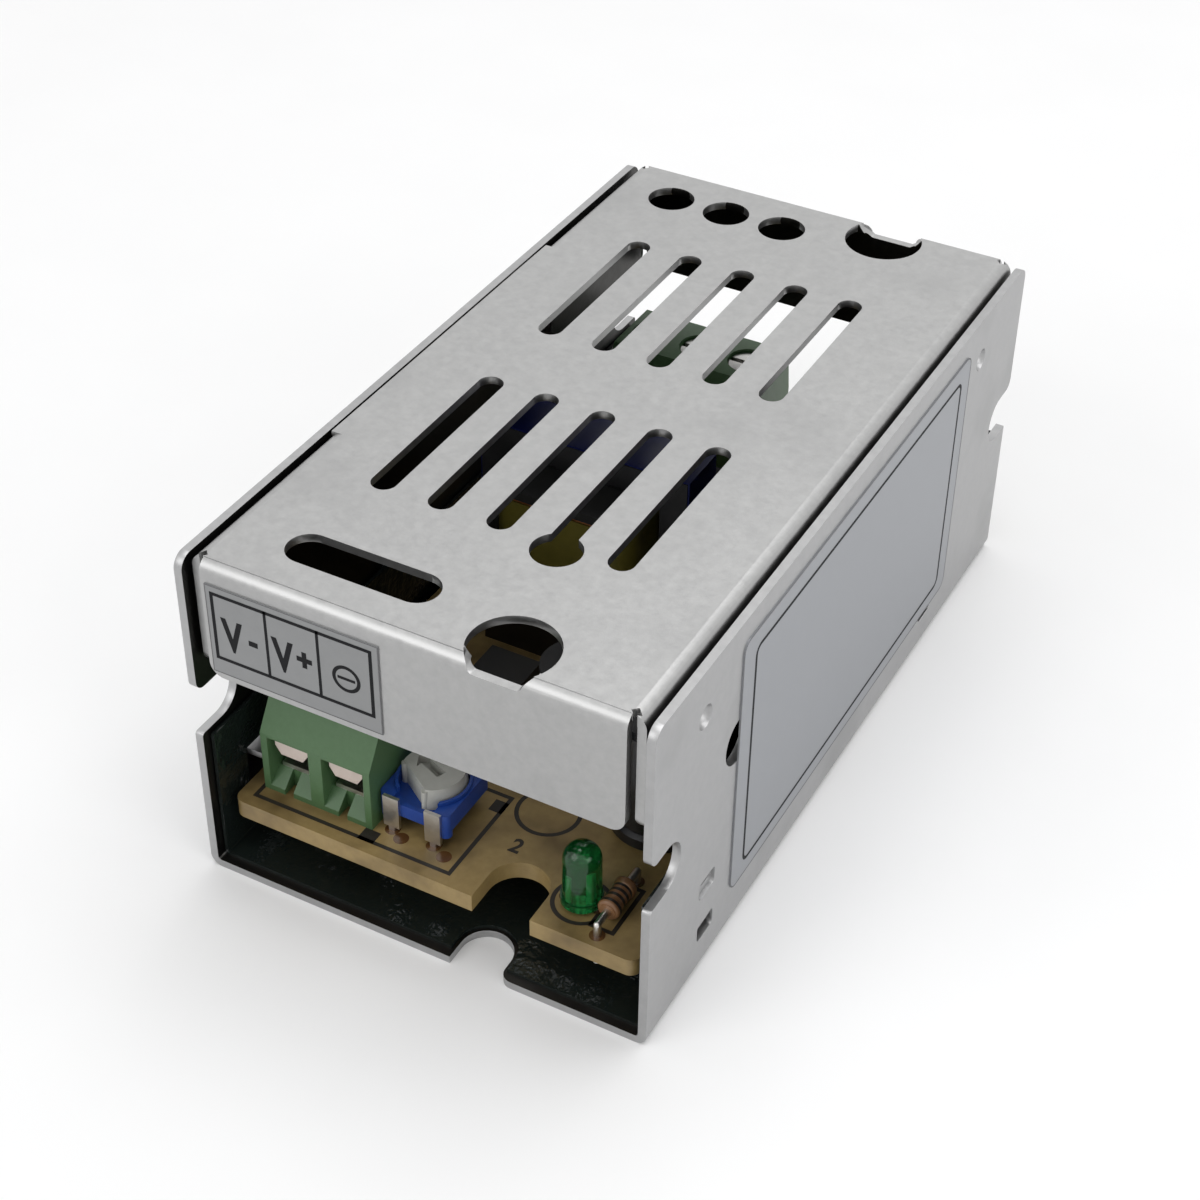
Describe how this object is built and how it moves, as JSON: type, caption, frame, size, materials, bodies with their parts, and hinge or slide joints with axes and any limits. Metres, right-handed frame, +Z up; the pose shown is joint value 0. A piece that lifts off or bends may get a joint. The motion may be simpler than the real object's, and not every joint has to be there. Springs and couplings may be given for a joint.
{
  "type": "mesh case switching power supply",
  "caption": "Small switching power supply in a slotted aluminium case, with green screw terminals, a blue trimmer and a green indicator.",
  "frame": {"origin": "centre of the underside of the case, on the surface it stands on", "axes": "+X to the right seen from the output end, +Y from the output end to the input end, +Z up"},
  "size_m": [0.0391, 0.07, 0.031],
  "materials": {
    "case_sheet": "satin, fine mottled grain",
    "cover_sheet": "satin, fine mottled grain",
    "black_film": "glossy film",
    "board_laminate": "satin phenolic board",
    "label_foil": "silver foil",
    "green_terminal_plastic": "satin",
    "plated_steel": "plated",
    "clamp_leaf_metal": "nickel-plated bronze",
    "blue_plastic": "satin",
    "white_plastic": "satin",
    "green_lens": "tinted, glossy",
    "resistor_coat": "satin",
    "ferrite": "matte",
    "black_plastic": "satin",
    "copper_wire": "enamelled",
    "yellow_tape": "film tape",
    "blue_tape": "film tape",
    "capacitor_sleeve": "glossy sleeve",
    "fuse_coat": "satin",
    "black_epoxy": "matte",
    "blue_epoxy": "glossy coat",
    "tinned_lead": "tinned"
  },
  "bodies": {
    "case": {"base_channel": "case_sheet", "top_cover": "cover_sheet", "insulation_sheet": "black_film", "circuit_board": "board_laminate", "rating_label": "label_foil", "terminal_label": "label_foil", "output_block": "green_terminal_plastic", "output_frames": "plated_steel", "input_block": "green_terminal_plastic", "input_frames": "plated_steel", "trimmer_base": "blue_plastic", "trimmer_lugs": "tinned_lead", "indicator_led": "green_lens", "led_leads": "tinned_lead", "led_resistor": "resistor_coat", "led_resistor_leads": "tinned_lead", "transformer_core": "ferrite", "transformer_bobbin": "black_plastic", "transformer_winding": "copper_wire", "winding_tape": "yellow_tape", "core_tape": "blue_tape", "transformer_pins": "tinned_lead", "bulk_capacitor": "capacitor_sleeve", "output_capacitors": "capacitor_sleeve", "capacitor_leads": "tinned_lead", "input_fuse": "fuse_coat", "rectifier_diodes": "black_epoxy", "output_diode": "black_epoxy", "axial_leads": "tinned_lead", "safety_capacitor": "blue_epoxy", "safety_capacitor_leads": "tinned_lead", "choke_core": "ferrite", "choke_winding": "copper_wire", "choke_leads": "tinned_lead", "controller_chip": "black_epoxy", "controller_pins": "tinned_lead", "optocoupler": "black_epoxy", "optocoupler_pins": "tinned_lead", "solder_joints": "tinned_lead"},
    "trimmer_dial": {"trimmer_dial": "white_plastic"},
    "output_leaf_1": {"output_leaf_1": "clamp_leaf_metal"},
    "output_screw_1": {"output_screw_1": "plated_steel"},
    "output_leaf_2": {"output_leaf_2": "clamp_leaf_metal"},
    "output_screw_2": {"output_screw_2": "plated_steel"},
    "input_leaf_1": {"input_leaf_1": "clamp_leaf_metal"},
    "input_screw_1": {"input_screw_1": "plated_steel"},
    "input_leaf_2": {"input_leaf_2": "clamp_leaf_metal"},
    "input_screw_2": {"input_screw_2": "plated_steel"},
    "input_leaf_3": {"input_leaf_3": "clamp_leaf_metal"},
    "input_screw_3": {"input_screw_3": "plated_steel"}
  },
  "joints": [
    {"name": "trimmer_turn", "type": "hinge", "parent": "case", "child": "trimmer_dial", "pos_m": [-0.0032, -0.0272, 0.0091], "axis": [0, 0, 1], "range_deg": [-130, 130]},
    {"name": "output_clamp_1", "type": "slide", "parent": "case", "child": "output_leaf_1", "axis": [0, 0, -1], "range_m": [0, 0.0014]},
    {"name": "output_screw_turn_1", "type": "hinge", "parent": "output_leaf_1", "child": "output_screw_1", "pos_m": [-0.01385, -0.0273, 0.0145], "axis": [0, 0, -1], "range_deg": [0, 1120.1]},
    {"name": "output_clamp_2", "type": "slide", "parent": "case", "child": "output_leaf_2", "axis": [0, 0, -1], "range_m": [0, 0.0014]},
    {"name": "output_screw_turn_2", "type": "hinge", "parent": "output_leaf_2", "child": "output_screw_2", "pos_m": [-0.00885, -0.0273, 0.0145], "axis": [0, 0, -1], "range_deg": [0, 1120.1]},
    {"name": "input_clamp_1", "type": "slide", "parent": "case", "child": "input_leaf_1", "axis": [0, 0, -1], "range_m": [0, 0.0014]},
    {"name": "input_screw_turn_1", "type": "hinge", "parent": "input_leaf_1", "child": "input_screw_1", "pos_m": [-0.01385, 0.0293, 0.0145], "axis": [0, 0, -1], "range_deg": [0, 1120.1]},
    {"name": "input_clamp_2", "type": "slide", "parent": "case", "child": "input_leaf_2", "axis": [0, 0, -1], "range_m": [0, 0.0014]},
    {"name": "input_screw_turn_2", "type": "hinge", "parent": "input_leaf_2", "child": "input_screw_2", "pos_m": [-0.00885, 0.0293, 0.0145], "axis": [0, 0, -1], "range_deg": [0, 1120.1]},
    {"name": "input_clamp_3", "type": "slide", "parent": "case", "child": "input_leaf_3", "axis": [0, 0, -1], "range_m": [0, 0.0014]},
    {"name": "input_screw_turn_3", "type": "hinge", "parent": "input_leaf_3", "child": "input_screw_3", "pos_m": [-0.00385, 0.0293, 0.0145], "axis": [0, 0, -1], "range_deg": [0, 1120.1]}
  ],
  "couplings": [
    {"joint": "output_screw_turn_1", "follows": "output_clamp_1", "rad_per_m": 13963},
    {"joint": "output_screw_turn_2", "follows": "output_clamp_2", "rad_per_m": 13963},
    {"joint": "input_screw_turn_1", "follows": "input_clamp_1", "rad_per_m": 13963},
    {"joint": "input_screw_turn_2", "follows": "input_clamp_2", "rad_per_m": 13963},
    {"joint": "input_screw_turn_3", "follows": "input_clamp_3", "rad_per_m": 13963}
  ]
}
